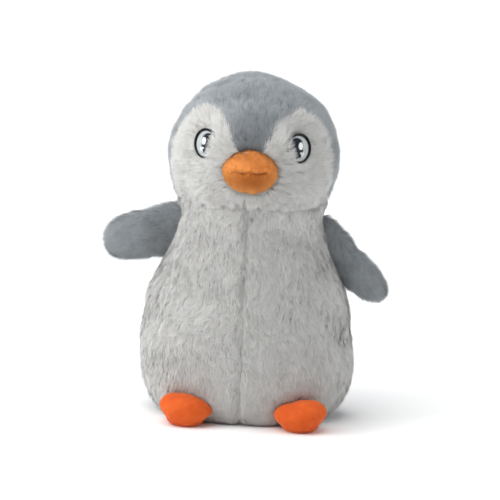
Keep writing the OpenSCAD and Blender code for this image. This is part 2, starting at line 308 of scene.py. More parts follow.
def blob(name, rings):
    """A closed form through rings of points, given as levels by around, low to high."""
    levels, around = rings.shape[:2]
    index = np.arange(levels * around).reshape(levels, around)
    nxt = np.roll(index, -1, 1)
    quads = np.stack([index[:-1], nxt[:-1], nxt[1:], index[1:]], -1).reshape(-1, 4)
    low, high = levels * around, levels * around + 1
    caps = np.concatenate([
        np.stack([np.full(around, low), nxt[0], index[0]], 1),
        np.stack([np.full(around, high), index[-1], nxt[-1]], 1)])
    points = np.concatenate([rings.reshape(-1, 3), [rings[0].mean(0), rings[-1].mean(0)]])
    obj = make_mesh(name, points, quads, caps)
    mesh = obj.data
    if sum(f.center.dot(f.normal) * f.area for f in mesh.polygons) < 0:
        mesh.flip_normals()
    return obj


def vectors_of(obj, name):
    """A mesh's places or normals, one row for each vertex."""
    values = np.zeros(len(obj.data.vertices) * 3, np.float32)
    obj.data.vertices.foreach_get(name, values)
    return values.reshape(-1, 3)


def points_of(obj):
    return vectors_of(obj, "co") / MM


def set_points(obj, points):
    obj.data.vertices.foreach_set("co", (points * MM).astype(np.float32).ravel())
    obj.data.update()


# ---- stuffing pressure

SIM_STEPS = 20


def remesh(obj, voxel):
    obj.data.remesh_voxel_size = voxel * MM
    bpy.context.view_layer.objects.active = obj
    bpy.ops.object.select_all(action="DESELECT")
    obj.select_set(True)
    bpy.ops.object.voxel_remesh()


def stuffed(obj, voxel, cap, sewn, pressure=4.0):
    """Blows a closed form up as cloth, held where sewn(points) is true. No point moves past the cap."""
    remesh(obj, voxel)
    before = points_of(obj)
    cloth = obj.modifiers.new("stuffing", "CLOTH")
    settings = cloth.settings
    settings.quality = 6
    settings.mass = 0.15
    settings.tension_stiffness = 12
    settings.compression_stiffness = 8
    settings.bending_stiffness = 0.6
    settings.use_pressure = True
    settings.uniform_pressure_force = pressure
    settings.effector_weights.gravity = 0
    group = obj.vertex_groups.new(name="sewn")
    group.add(np.nonzero(sewn(before))[0].tolist(), 1.0, "REPLACE")
    settings.vertex_group_mass = "sewn"
    SCENE.frame_start = 1
    SCENE.frame_end = SIM_STEPS
    cloth.point_cache.frame_start = 1
    cloth.point_cache.frame_end = SIM_STEPS
    for step in range(1, SIM_STEPS + 1):
        SCENE.frame_set(step)
    after = points_of(obj.evaluated_get(bpy.context.evaluated_depsgraph_get()))
    obj.modifiers.remove(cloth)
    SCENE.frame_set(1)
    move = after - before
    size = np.linalg.norm(move, axis=1, keepdims=True)
    set_points(obj, before + move * np.minimum(1, cap / np.maximum(size, 1e-6)))


def swell_of(form, reach=9.0):
    """How far a stuffed form stands off points, along their normals, as a function. The form is used up."""
    tree = BVHTree.FromObject(form, bpy.context.evaluated_depsgraph_get())
    bpy.data.objects.remove(form)

    def swell(p, n):
        found = []
        for a, b in zip(p.reshape(-1, 3), n.reshape(-1, 3)):
            hit = tree.ray_cast(Vector((a - b * reach) * MM), Vector(b), 2 * reach * MM)
            found.append(0 if hit[0] is None else hit[3] / MM - reach)
        return np.array(found).reshape(p.shape[:-1])

    return swell


# ---- skins

def grid(panel, rows, cols, side, relief, sink=0.0):
    """Points and outward normals of a panel, as rows by columns."""
    s, t = np.meshgrid(np.linspace(0, 1, rows), np.linspace(0, 1, cols), indexing="ij")
    p = panel(s, t) * [side, 1, 1]
    n = unit(np.cross(np.gradient(p, axis=1), np.gradient(p, axis=0))) * side
    p = p + n * (relief(p, n) - sink)[..., None]
    n = unit(np.cross(np.gradient(p, axis=1), np.gradient(p, axis=0))) * side
    return p, n


def skin(name, panel, side, relief, depth):
    """The cloth under a panel's pile. It lies deeper close to the fold of the neck."""
    def sunk(p, n):
        return relief(p, n) - 4.0 * smooth(1.4 - np.abs(p[..., 2] - FOLD_Z) / 10)

    p, n = grid(panel, 46, 36, side, sunk, depth)
    return shell(name, p, p - n * SKIN_T)


# ---- fur

def sample(field, s, t):
    """A grid of values read at shares s and t, smoothly between its points."""
    rows, cols = field.shape[:2]
    y = np.clip(s, 0, 1) * (rows - 1)
    x = np.clip(t, 0, 1) * (cols - 1)
    i = np.minimum(y.astype(int), rows - 2)
    j = np.minimum(x.astype(int), cols - 2)
    v = (y - i)[..., None]
    u = (x - j)[..., None]
    low = field[i, j] * (1 - u) + field[i, j + 1] * u
    high = field[i + 1, j] * (1 - u) + field[i + 1, j + 1] * u
    return low * (1 - v) + high * v


def turned(flow, normals, angle):
    """Directions in the surface, turned by an angle about the normals."""
    across = np.cross(normals, flow)
    return flow * np.cos(angle)[:, None] + across * np.sin(angle)[:, None]


def roots_on(panel, side, relief, spacing, rng, tuft):
    """Places where strands grow: points, normals, and the nearest tuft's centre for each."""
    fine = 100
    p, n = grid(panel, fine, fine, side, relief, SKIN_IN)
    step_s = np.linalg.norm(np.diff(p, axis=0), axis=-1)
    step_t = np.linalg.norm(np.diff(p, axis=1), axis=-1)
    rows = int(step_s.sum(0).max() / spacing) + 1
    cols = int(step_t.sum(1).max() / spacing) + 1
    i, j = np.meshgrid(np.arange(rows), np.arange(cols), indexing="ij")
    i, j = i.ravel(), j.ravel()
    s = (i + rng.uniform(0, 1, len(i))) / rows
    t = (j + rng.uniform(0, 1, len(j))) / cols
    area = step_s[:, :-1] * step_t[:-1, :] * (fine - 1) ** 2 / (rows * cols)
    share = sample(area[..., None], s, t)[:, 0] / spacing ** 2
    kept = rng.uniform(0, 1, len(s)) < share
    s, t, i, j = s[kept], t[kept], i[kept], j[kept]
    size = max(2, round(tuft / spacing))
    across = cols // size + 3
    down = rows // size + 3
    stray = 0.42
    centre_i = (np.arange(down)[:, None] - 0.5 + rng.uniform(-stray, stray, (down, across))) * size
    centre_j = (np.arange(across)[None, :] - 0.5 + rng.uniform(-stray, stray, (down, across))) * size
    best = np.full(len(s), np.inf)
    tuft_s, tuft_t = np.zeros((2, len(s)))
    tuft_id = np.zeros(len(s), int)
    for di in (0, 1, 2):
        for dj in (0, 1, 2):
            a = np.clip(i // size + di, 0, down - 1)
            b = np.clip(j // size + dj, 0, across - 1)
            ci = centre_i[a, b]
            cj = centre_j[a, b]
            far = (ci - s * rows) ** 2 + (cj - t * cols) ** 2
            nearer = far < best
            best = np.where(nearer, far, best)
            tuft_s = np.where(nearer, ci / rows, tuft_s)
            tuft_t = np.where(nearer, cj / cols, tuft_t)
            tuft_id = np.where(nearer, a * across + b, tuft_id)
    return {
        "p": sample(p, s, t), "n": unit(sample(n, s, t)),
        "tuft_p": sample(p, tuft_s, tuft_t), "tuft_n": unit(sample(n, tuft_s, tuft_t)),
        "tuft": tuft_id,
    }


def fur(name, roots, flow_of, rng, length=9.0, lift=5.2, half=0.15, clump=0.24, stray=0.34,
        keep_off=None, swirl=0.45, trim=None):
    """One mesh of thin ribbons, bent once and pointed. flow_of(points) gives the way the pile lies.

    length and lift: of a strand, and of its tip over the skin. half: half a strand's width.
    clump: how far a tip is drawn to its tuft's. stray and swirl: how unevenly strands and whole
    patches turn. trim(points) shortens the pile, and keep_off moves or drops strands.
    """
    p, n = roots["p"], roots["n"]
    count = len(p)

    def reach(points, normals):
        flow = flow_of(points)
        flow = unit(flow - normals * np.sum(flow * normals, -1, keepdims=True))
        wide, narrow = lumps(points, 34, 21), lumps(points, 11, 22)
        return turned(flow, normals, swirl * wide + 0.4 * swirl * narrow)

    tuft_kinds = roots["tuft"].max() + 1
    tuft_lean = rng.normal(0, 0.18, tuft_kinds)[roots["tuft"]]
    tuft_tall = rng.uniform(0.9, 1.1, tuft_kinds)[roots["tuft"]]
    tall = lift * tuft_tall * rng.uniform(0.84, 1.12, count)
    level = math.sqrt(max(length ** 2 - lift ** 2, 1))
    lean = level * rng.uniform(0.75, 1.15, count)
    flow = reach(p, n)
    flow = turned(flow, n, tuft_lean + rng.normal(0, stray, count))
    tip = p + n * tall[:, None] + flow * lean[:, None]
    flow_g = reach(roots["tuft_p"], roots["tuft_n"])
    flow_g = turned(flow_g, roots["tuft_n"], tuft_lean)
    tip_g = roots["tuft_p"] + roots["tuft_n"] * (lift * tuft_tall * 1.06)[:, None]
    tip_g = tip_g + flow_g * level
    tip = tip + (tip_g - tip) * (clump * rng.uniform(0.5, 1.2, count))[:, None]
    cut = 1 if trim is None else trim(p)[:, None]
    tip = p + (tip - p) * cut
    bend_at = 0.36
    mid = p + (tip - p) * bend_at + n * tall[:, None] * bend_at * cut
    tuft_shade = rng.normal(0, 0.1, tuft_kinds)
    kept = np.ones(count, bool)
    if keep_off is not None:
        p, n, mid, tip, kept = keep_off(p, n, mid, tip)
        count = len(p)
    p = p.copy()
    for points in (p, mid, tip):
        points[:, 2] = np.maximum(points[:, 2], PILE_LOW)
    way = unit(tip - p)
    side = unit(np.cross(way, n) + rng.normal(0, 0.25, (count, 3)))
    side = unit(side - way * np.sum(side * way, -1, keepdims=True))
    wide = half * rng.uniform(0.75, 1.25, (count, 1))
    verts = np.zeros((count, 5, 3))
    verts[:, 0] = p - side * wide
    verts[:, 1] = p + side * wide
    verts[:, 2] = mid + side * wide * 0.9
    verts[:, 3] = mid - side * wide * 0.9
    verts[:, 4] = tip
    base = np.arange(count)[:, None] * 5
    swap = np.sum(np.cross(verts[:, 1] - verts[:, 0], verts[:, 4] - verts[:, 0]) * n, -1) < 0
    verts[swap] = verts[swap][:, [1, 0, 3, 2, 4]]
    obj = make_mesh(name, verts.reshape(-1, 3), base + np.array([0, 1, 2, 3]), base + np.array([3, 2, 4]))
    cells = int(math.ceil(math.sqrt(count)))
    k = np.arange(count)
    corner = np.stack([k % cells, k // cells], -1)[:, None, :]
    spots = np.array([[0.1, 0.08], [0.9, 0.08], [0.85, 0.5], [0.15, 0.5], [0.5, 0.92]])
    set_uv(obj, ((corner + spots[None]) / cells).reshape(-1, 2))
    set_values(obj, "along", np.tile([0, 0, 0.55, 0.55, 1.0], count))
    shade = 0.5 + 0.2 * rng.normal(0, 1, count) + tuft_shade[roots["tuft"]][kept]
    set_values(obj, "shade", np.repeat(np.clip(shade, 0, 1), 5))
    left = -side * np.where(swap, -1, 1)[:, None]
    spread = np.stack([left, -left, -left, left, way * 0.3], 1)
    soft = unit(np.repeat(n[:, None], 5, 1) + spread * 0.5)
    obj.data.normals_split_custom_set_from_vertices(soft.reshape(-1, 3).tolist())
    return obj


# ---- materials

class Paint:
    """A procedural material on the Principled shader, with short ways to add nodes."""

    def __init__(self, name, **constants):
        self.mat = bpy.data.materials.new(name)
        self.mat.use_nodes = True
        self.tree = self.mat.node_tree
        self.bsdf = self.tree.nodes["Principled BSDF"]
        self.coords = self.node("ShaderNodeTexCoord").outputs["Object"]
        for socket, value in constants.items():
            self.bsdf.inputs[socket.replace("_", " ")].default_value = value

    def node(self, kind, **settings):
        made = self.tree.nodes.new(kind)
        for key, value in settings.items():
            setattr(made, key, value)
        return made

    def feed(self, socket, value):
        if isinstance(value, bpy.types.NodeSocket):
            self.tree.links.new(value, socket)
        else:
            socket.default_value = value

    def math(self, how, a, b=0.0, c=0.0, clamp=False):
        made = self.node("ShaderNodeMath", operation=how, use_clamp=clamp)
        for socket, value in zip(made.inputs, (a, b, c)):
            self.feed(socket, value)
        return made.outputs[0]

    def vector(self, how, *parts):
        """The outputs of a vector sum, fed with sockets or with three numbers each."""
        made = self.node("ShaderNodeVectorMath", operation=how)
        for socket, value in zip(made.inputs, parts):
            self.feed(socket, value)
        return made.outputs

    def wave(self, way, scale, distortion=0.0):
        made = self.node("ShaderNodeTexWave", wave_type="BANDS", bands_direction=way)
        self.feed(made.inputs["Vector"], self.coords)
        made.inputs["Scale"].default_value = scale
        made.inputs["Distortion"].default_value = distortion
        return made.outputs["Fac"]

    def noise(self, scale, detail=3.0, rough=0.5, stretch=None):
        made = self.node("ShaderNodeTexNoise")
        place = self.coords
        if stretch:
            mapping = self.node("ShaderNodeMapping")
            mapping.inputs["Scale"].default_value = stretch
            self.feed(mapping.inputs["Vector"], place)
            place = mapping.outputs[0]
        self.feed(made.inputs["Vector"], place)
        made.inputs["Scale"].default_value = scale
        made.inputs["Detail"].default_value = detail
        made.inputs["Roughness"].default_value = rough
        return made.outputs["Fac"]

    def value(self, name):
        return self.node("ShaderNodeAttribute", attribute_name=name).outputs["Fac"]

    def ramp(self, fac, *stops):
        made = self.node("ShaderNodeValToRGB")
        while len(made.color_ramp.elements) < len(stops):
            made.color_ramp.elements.new(0.5)
        for element, (place, colour) in zip(made.color_ramp.elements, stops):
            element.position = place
            element.color = (*colour, 1)
        self.feed(made.inputs[0], fac)
        return made.outputs[0]

    def mix(self, fac, a, b, how="MIX"):
        made = self.node("ShaderNodeMix", data_type="RGBA", blend_type=how)
        self.feed(made.inputs[0], fac)
        for socket, value in ((made.inputs[6], a), (made.inputs[7], b)):
            self.feed(socket, (*value, 1) if isinstance(value, tuple) else value)
        return made.outputs[2]

    def spread(self, fac, low, high):
        """A 0 to 1 value laid out from low to high."""
        return self.math("MULTIPLY_ADD", fac, high - low, low)

    def with_painted_shade(self, colour, painted_shade):
        """A colour darkened by painted shade, which fades out from a place: (place, radii, colour there).
        """
        if painted_shade is None:
            return colour
        place, radii, there = painted_shade
        far = self.coords
        for how, by in (("SUBTRACT", place), ("DIVIDE", radii)):
            far = self.vector(how, far, tuple(np.array(by) * MM))["Vector"]
        # painted shade: darkest at the place, fading out to none at the radii
        over = self.ramp(self.vector("LENGTH", far)["Value"], (0.25, there), (1.0, (1, 1, 1)))
        return self.mix(1.0, colour, over, "MULTIPLY")

    def colour(self, value):
        self.feed(self.bsdf.inputs["Base Color"], value)

    def rough(self, value):
        self.feed(self.bsdf.inputs["Roughness"], value)

    def outward(self):
        """The skin's own outward direction on a strand, whichever side of the strand a ray meets."""
        face = self.node("ShaderNodeNewGeometry")
        way = self.math("MULTIPLY_ADD", face.outputs["Backfacing"], -2.0, 1.0)
        turned_back = self.node("ShaderNodeVectorMath", operation="SCALE")
        self.feed(turned_back.inputs[0], face.outputs["Normal"])
        self.feed(turned_back.inputs["Scale"], way)
        return turned_back.outputs[0]

    def bump(self, height, depth_mm, strength=1.0, normal=None):
        made = self.node("ShaderNodeBump")
        if normal is not None:
            self.feed(made.inputs["Normal"], normal)
        made.inputs["Strength"].default_value = strength
        made.inputs["Distance"].default_value = depth_mm * MM
        self.feed(made.inputs["Height"], height)
        self.feed(self.bsdf.inputs["Normal"], made.outputs[0])


def pile_paint(name, colours, mid_at, strand, patch, rough, grain, painted_shade=None, **constants):
    """Pile that is darker at its roots (painted shade deep in the pile) and paler at its tips, strand by
    strand and in soft patches, with more painted shade where one is given.
    """
    paint = Paint(name, **constants)
    # darker roots and paler tips: painted shade deep in the pile
    along = paint.ramp(paint.value("along"), *zip((0.0, mid_at, 1.0), colours))
    amount = paint.spread(paint.value("shade"), *strand)
    if patch:
        amount = paint.math("MULTIPLY", amount, paint.spread(paint.noise(60, 4, 0.65), *patch))
    grey = paint.node("ShaderNodeCombineColor")
    for socket in grey.inputs:
        paint.feed(socket, amount)
    paint.colour(paint.with_painted_shade(paint.mix(1.0, along, grey.outputs[0], "MULTIPLY"), painted_shade))
    scale, low, high = rough
    paint.rough(paint.spread(paint.noise(scale, 2), low, high))
    scale, depth = grain
    paint.bump(paint.noise(scale, 2), depth, normal=paint.outward())
    return paint.mat


def fur_paint(name, colours, painted_shade=None):
    return pile_paint(name, colours, 0.62, (0.8, 1.16), (0.88, 1.1), (900, 0.55, 0.8), (4200, 0.03), painted_shade,
                      Sheen_Weight=0.15, Sheen_Roughness=0.5, Specular_IOR_Level=0.25)


def nap_paint(name, colours, painted_shade=None):
    return pile_paint(name, colours, 0.5, (0.82, 1.14), None, (700, 0.7, 0.95), (5200, 0.02), painted_shade,
                      Sheen_Weight=0.3, Sheen_Roughness=0.4, Sheen_Tint=(1, 0.7, 0.45, 1),
                      Specular_IOR_Level=0.2)


def knit_paint(name, tone, other):
    """The knitted backing under the pile, and the lining of the base."""
    paint = Paint(name, Sheen_Weight=0.2, Sheen_Roughness=0.6, Specular_IOR_Level=0.2)
    wale = paint.wave("DIAGONAL", 420, 2.0)
    paint.colour(paint.mix(paint.noise(160, 3), tone, other))
    paint.rough(paint.spread(wale, 0.75, 0.95))
    paint.bump(wale, 0.12)
    return paint.mat


def velour_paint(name, colours, painted_shade=None):
    """The orange cloth under a short nap: fine grain, paler where it is brushed, with painted shade where
    one is given.
    """
    paint = Paint(name, Sheen_Weight=0.35, Sheen_Roughness=0.35, Sheen_Tint=(1, 0.62, 0.35, 1),
                  Specular_IOR_Level=0.2)
    grain = paint.noise(2300, 3, 0.6)
    brushed = paint.noise(95, 3, 0.6)
    both = paint.math("MULTIPLY_ADD", grain, 0.35, paint.math("MULTIPLY", brushed, 0.65))
    paint.colour(paint.with_painted_shade(paint.ramp(both, *zip((0.28, 0.5, 0.75), colours)), painted_shade))
    paint.rough(paint.spread(grain, 0.7, 0.95))
    paint.bump(grain, 0.16, 0.8)
    return paint.mat


def wadding_paint(name):
    paint = Paint(name, Sheen_Weight=0.3, Sheen_Roughness=0.5, Specular_IOR_Level=0.2)
    fibre = paint.noise(700, 5, 0.75, stretch=(1, 1, 0.25))
    paint.colour(paint.ramp(fibre, (0.3, (0.66, 0.64, 0.58)), (0.6, (0.86, 0.85, 0.8))))
    paint.rough(paint.spread(fibre, 0.7, 0.95))
    paint.bump(fibre, 0.4)
    return paint.mat


def woven_paint(name, tone, other):
    """Plain-weave cotton, for the pellet bag."""
    paint = Paint(name, Sheen_Weight=0.1, Specular_IOR_Level=0.25)
    weave = paint.math("MULTIPLY", *(paint.wave(way, 900) for way in ("X", "Z")))
    paint.colour(paint.mix(paint.noise(300, 4), tone, other))
    paint.rough(paint.spread(weave, 0.7, 0.95))
    paint.bump(weave, 0.1)
    return paint.mat


def plastic_paint(name, tone, other, low, high, coat=0.0):
    """Moulded plastic with a faint orange-peel surface."""
    paint = Paint(name, Coat_Weight=coat, Coat_Roughness=0.04, Specular_IOR_Level=0.5)
    paint.colour(paint.mix(paint.noise(380, 3), tone, other))
    paint.rough(paint.spread(paint.noise(260, 3), low, high))
    paint.bump(paint.noise(900, 2), 0.02)
    return paint.mat


def dome_paint(name):
    """Clear moulded plastic; most light goes straight through to the printed disc."""
    paint = Paint(name, Transmission_Weight=1.0, IOR=1.3, Alpha=0.12, Coat_Weight=0.35, Coat_Roughness=0.03)
    paint.colour(paint.mix(paint.noise(120, 2), (0.97, 0.98, 1.0), (1.0, 1.0, 1.0)))
    paint.rough(paint.spread(paint.noise(240, 2), 0.01, 0.05))
    return paint.mat


def eye_frame(side):
    """The eye's centre, the way it looks, and its own outward and upward directions."""
    centre = np.array([side * EYE_X, head_y(EYE_X, EYE_Z), EYE_Z])
    look = np.array([side * math.sin(EYE_YAW) * math.cos(EYE_PITCH),
                     -math.cos(EYE_YAW) * math.cos(EYE_PITCH), math.sin(EYE_PITCH)])
    out = unit(np.cross(look, [0, 0, 1]) * -side)
    up = unit(np.cross(look, out) * side)
    if up[2] < 0:
        up = -up
    return centre + look * 0.6, look, out, up


def iris_paint(name, side):
    """The printed disc: silvery ring, a ragged dark pupil, a white oval and small sparkles."""
    paint = Paint(name, Specular_IOR_Level=0.15)
    centre, _, out, up = eye_frame(side)
    place = paint.vector("SUBTRACT", paint.coords, tuple(centre * MM))["Vector"]
    x, y = (paint.vector("DOT_PRODUCT", place, tuple(way / (EYE_R * MM)))["Value"] for way in (out, up))

    def oval(cx, cy, rx, ry, ragged=0.0):
        """Distance from an oval's middle: below 1 inside it. cx is towards the ear."""
        dx = paint.math("SUBTRACT", x, cx)
        dy = paint.math("SUBTRACT", y, cy)
        squares = [paint.math("POWER", paint.math("DIVIDE", d, r), 2.0) for d, r in ((dx, rx), (dy, ry))]
        far = paint.math("SQRT", paint.math("ADD", *squares))
        if ragged:
            teeth = paint.noise(1500, 2, 0.6)
            far = paint.math("MULTIPLY_ADD", paint.math("SUBTRACT", teeth, 0.5), ragged, far)
        return far

    def inside(far, edge=0.08):
        grown = paint.math("SUBTRACT", 1.0, far)
        return paint.math("MULTIPLY_ADD", grown, 1 / edge, 0.5, clamp=True)

    fleck = paint.noise(2600, 3, 0.7)
    tone = paint.ramp(fleck, (0.3, (0.42, 0.46, 0.47)), (0.55, (0.55, 0.60, 0.61)),
                      (0.8, (0.70, 0.75, 0.76)))
    low_light = paint.math("MULTIPLY_ADD", y, -0.55, 0.45, clamp=True)
    tone = paint.mix(low_light, tone, (0.48, 0.52, 0.52))
    pupil = inside(oval(-0.24, 0.15, 0.68, 0.65, 0.30), 0.08)
    tone = paint.mix(pupil, tone, (0.010, 0.014, 0.026))
    for cx, cy, rx, ry in ((0.04, -0.44, 0.17, 0.30), (0.27, -0.22, 0.14, 0.10), (-0.3, -0.5, 0.3, 0.3)):
        blot = inside(oval(cx, cy, rx, ry, 0.9), 0.15)
        tone = paint.mix(blot, tone, (0.02, 0.026, 0.04))
    glint = inside(oval(0.20, 0.14, 0.21, 0.28), 0.12)
    tone = paint.mix(glint, tone, (0.93, 0.94, 0.95))
    sparkles = (0.20, -0.40, 0.08), (0.38, -0.50, 0.07), (0.27, -0.60, 0.055), (0.44, -0.38, 0.05)
    for cx, cy, size in sparkles:
        tone = paint.mix(inside(oval(cx, cy, size, size), 0.4), tone, (0.90, 0.92, 0.93))
    rim = inside(oval(-0.06, -0.05, 0.97, 0.97), 0.05)
    tone = paint.mix(rim, (0.008, 0.009, 0.01), tone)
    paint.colour(tone)
    paint.rough(paint.spread(fleck, 0.18, 0.4))
    paint.bump(fleck, 0.02)
    return paint.mat


def assign(obj, material):
    obj.data.materials.clear()
    obj.data.materials.append(material)
    return obj


# Colours in linear light. Pile: at the root, along the strand, at the tip; the darker root is painted
# shade. Velour: deep, even, brushed.
WHITE = (0.66, 0.645, 0.62), (0.71, 0.705, 0.68), (0.78, 0.78, 0.76)
GREY = (0.20, 0.215, 0.23), (0.31, 0.335, 0.355), (0.45, 0.48, 0.50)
# painted shade: the grey pile is darkened just over the beak
FOREHEAD_PAINTED_SHADE = (0, -58, 198), (26, 40, 34), (0.66, 0.66, 0.66)             # greyer just over the beak
# painted shade: a darker patch under the mouth's crease, on the lower beak
UNDER_MOUTH_PAINTED_SHADE = (0, -62, 176.5), (19, 100, 12), (0.62, 0.50, 0.42)         # darker under the mouth
white_fur = fur_paint("white_pile", WHITE)
grey_fur = fur_paint("grey_pile", GREY)
# the forehead's pile, with painted shade just over the beak
forehead_fur_painted_shade = fur_paint("forehead_pile_painted_shade", GREY, FOREHEAD_PAINTED_SHADE)
white_knit = knit_paint("white_backing", (0.66, 0.65, 0.62), (0.74, 0.73, 0.70))
grey_knit = knit_paint("grey_backing", (0.25, 0.27, 0.29), (0.31, 0.335, 0.355))
ORANGE = {      # the cloth and the nap of each velour part
    "beak_upper": (
        velour_paint("beak_velour", ((0.84, 0.24, 0.05), (0.95, 0.33, 0.08), (0.99, 0.42, 0.13))),
        nap_paint("beak_nap", ((0.86, 0.24, 0.045), (0.98, 0.37, 0.09), (1.0, 0.48, 0.16)))),
    "beak_lower": (
        # the lower beak is a slightly darker copy of the upper's colours, painted shade on the half that
        # faces down, with the painted shade under the mouth over it
        velour_paint("under_velour_painted_shade", ((0.80, 0.23, 0.045), (0.90, 0.31, 0.07), (0.95, 0.40, 0.11)),
                     UNDER_MOUTH_PAINTED_SHADE),
        nap_paint("under_nap_painted_shade", ((0.82, 0.23, 0.04), (0.94, 0.35, 0.08), (0.97, 0.46, 0.14)), UNDER_MOUTH_PAINTED_SHADE)),
    "foot": (
        velour_paint("foot_velour", ((0.56, 0.075, 0.012), (0.68, 0.105, 0.016), (0.76, 0.15, 0.03))),
        nap_paint("foot_nap", ((0.56, 0.07, 0.011), (0.70, 0.11, 0.018), (0.80, 0.17, 0.036)))),
}
wadding = wadding_paint("polyester_wadding")
cotton = woven_paint("pellet_cotton", (0.55, 0.50, 0.42), (0.66, 0.62, 0.54))
black = plastic_paint("black_plastic", (0.006, 0.006, 0.007), (0.014, 0.014, 0.016), 0.08, 0.2, 0.6)
milky = plastic_paint("washer_plastic", (0.30, 0.30, 0.31), (0.40, 0.40, 0.41), 0.35, 0.5)
clear = dome_paint("clear_plastic")


# ---- the stuffed form under the skins

def no_swell(p, n):
    return np.zeros(p.shape[:-1])


def ring_grid(point_of, heights, around=48):
    return np.stack([point_of(h, -np.arange(around) * 360 / around) for h in heights])


body_swell = no_swell
head_swell = no_swell
heights = np.linspace(body_bottom, FOLD_Z, 30)
form = blob("body_form", ring_grid(body_point, heights))
stuffed(form, 5.0, 4.0, lambda p: (np.abs(p[:, 0]) < 3) | (p[:, 2] < 8) | (p[:, 2] > 140))
body_swell = swell_of(form)
form = blob("head_form", ring_grid(lambda e, a: head_point(a, e), np.linspace(HEAD_LOW_E, 86, 26)))
stuffed(form, 5.0, 4.0, lambda p: p[:, 2] < 158)
head_swell = swell_of(form)


def body_relief(p, n):
    front = smooth(-p[..., 1] / 15)
    seam = -2.5 * np.exp(-(p[..., 0] / 2.4) ** 2) * (0.8 + 0.2 * np.sin(p[..., 2] / 7))
    side = -0.7 * np.exp(-(p[..., 1] / 3.0) ** 2)
    swell = np.clip(body_swell(p, n), -2, 4) * 0.6
    uneven = 2.5 * bump(p, (70, 0, 30), 22) + 2.0 * bump(p, (0, -42, 142), 24)
    return front * seam + side + 1.0 * lumps(p, 46, 3) + 0.5 * lumps(p, 19, 4) + swell + uneven


def head_relief(p, n):
    mirrored = np.stack([np.abs(p[..., 0]), p[..., 1], p[..., 2]], -1)
    cheek = 2.2 * bump(mirrored, (30, -40, 170), 17)
    socket = -2.2 * bump(mirrored, (EYE_X + 5, -37, EYE_Z), 11) + 2.6 * bump(mirrored, (17, -50, 197), 10)
    brow = 1.0 * bump(p, (0, -38, 222), 22)
    dents = 2.2 * bump(p, (24, 0, 234), 18) + 2.5 * bump(p, (50, 0, 156), 14)
    swell = np.clip(head_swell(p, n), -2, 3) * 0.4
    return cheek + socket + brow - dents + 0.7 * lumps(p, 40, 5) + 0.35 * lumps(p, 16, 6) + swell


# ---- which way the pile lies

def body_flow(p):
    parted = 0.5 * np.tanh(p[:, 0]) * np.exp(-(p[:, 0] / 5) ** 2)
    return unit(np.stack([p[:, 0] * 0.004 + parted, p[:, 1] * 0.004, np.full(len(p), -1.0)], -1))


def head_flow(p):
    """Away from the beak in front, and down the back of the head."""
    away = unit(p - np.array([0, -48, BEAK_Z - 2]))
    down = np.array([0, 0.15, -1.0])
    back = smooth((p[:, 1] + 8) / 40)[:, None]
    chin = smooth((BEAK_Z - 8 - p[:, 2]) / 14)[:, None] * 0.6
    return unit(away * (1 - back) * (1 - chin) + down * (back + chin))


def head_trim(p):
    """The pile is a little shorter towards the neck, so that the head runs into the body."""
    ragged = 0.3 * lumps(p, 6, 51) * smooth((FOLD_Z + 9 - p[:, 2]) / 5)
    return 0.85 + 0.15 * smooth((p[:, 2] - FOLD_Z) / 12) + ragged


def body_trim(p):
    return 0.75 + 0.25 * smooth((FOLD_Z - p[:, 2]) / 16)


# ---- keeping fur off the eyes, beak and feet

def beak_share(x, z):
    """How far out from the beak's middle a point is, seen from the front: 1 on its outline."""
    return np.sqrt((x / beak_half_w) ** 2 + (z / np.where(z < 0, BEAK_DOWN, BEAK_UP)) ** 2)


def clear_face(side):
    centre, look, out, up = eye_frame(side)
    bare = RIM_R + 0.3      # nothing grows nearer to the eye's middle than this

    def radial(points):
        """Height over the eye's plane, place in that plane, and distance from the middle."""
        rel = points - centre
        depth = rel @ look
        flat = rel - depth[:, None] * look
        return depth, flat, np.linalg.norm(flat, axis=1)

    def spare(r):
        """How high the eye stands at a distance from its middle."""
        dome = 0.9 + 4.6 * (1 - (np.minimum(r, EYE_R) / EYE_R) ** 2)
        return np.where(r < bare, np.maximum(dome, 1.8), -9)

    def keep(p, n, mid, tip):
        depth, flat, far = radial(p)
        front = p[:, 1] < 0
        kept = ~((far < bare) & (depth > -12))
        kept &= ~((beak_share(p[:, 0], p[:, 2] - BEAK_Z) < 0.92) & front)
        p, n, mid, tip = p[kept], n[kept], mid[kept], tip[kept]
        depth, flat, far = radial(p)
        root_u = flat @ out
        root_v = flat @ up
        # strands at the nose side of the eye lie over its inner edge; the others keep off it
        over = (root_u < -0.6 * RIM_R) & (far < RIM_R + 6) & (depth > -9) & (root_v > -0.9 * RIM_R)
        ragged = 1.3 * lumps(p, 3.2, 41) + 0.9 * lumps(p, 1.3, 42)
        tip[over] = p[over] + (tip[over] - p[over]) * 1.45
        for points, share in ((mid, 0.5), (tip, 1.0)):
            depth, flat, far = radial(points)
            u = flat @ out
            v = flat @ up
            edge = -4.9 - 0.1 * v + 0.5 * ragged
            shift = np.where(over & (far < RIM_R) & (u > edge), edge - u, 0)
            points += shift[:, None] * out
            depth, flat, far = radial(points)
            rise = np.where(over, np.maximum(0, spare(far) * (0.6 + 0.4 * share) - depth), 0)
            points += rise[:, None] * look
            way = flat / np.maximum(far, 1e-6)[:, None]
            limit = RIM_R + 0.35
            pushed = np.where(~over & (far < limit) & (depth > -8), limit - far, 0)
            points += way * pushed[:, None]
            points -= look * (pushed * 0.25)[:, None]
            over_beak = points[:, 2] - BEAK_Z
            size = beak_share(points[:, 0], over_beak)
            grow = np.where((size < 1.0) & (points[:, 1] < 0), 1.0 / np.maximum(size, 0.2), 1.0)
            points[:, 0] *= grow
            points[:, 2] = BEAK_Z + over_beak * grow
        squeeze = 0.7 + 0.3 * smooth((radial(p)[2] - RIM_R) / 6)
        squeeze = np.where(over, 1, squeeze)[:, None]
        tip[:] = p + (tip - p) * squeeze
        mid[:] = p + (mid - p) * squeeze
        return p, n, mid, tip, kept

    return keep


# ---- plush panels

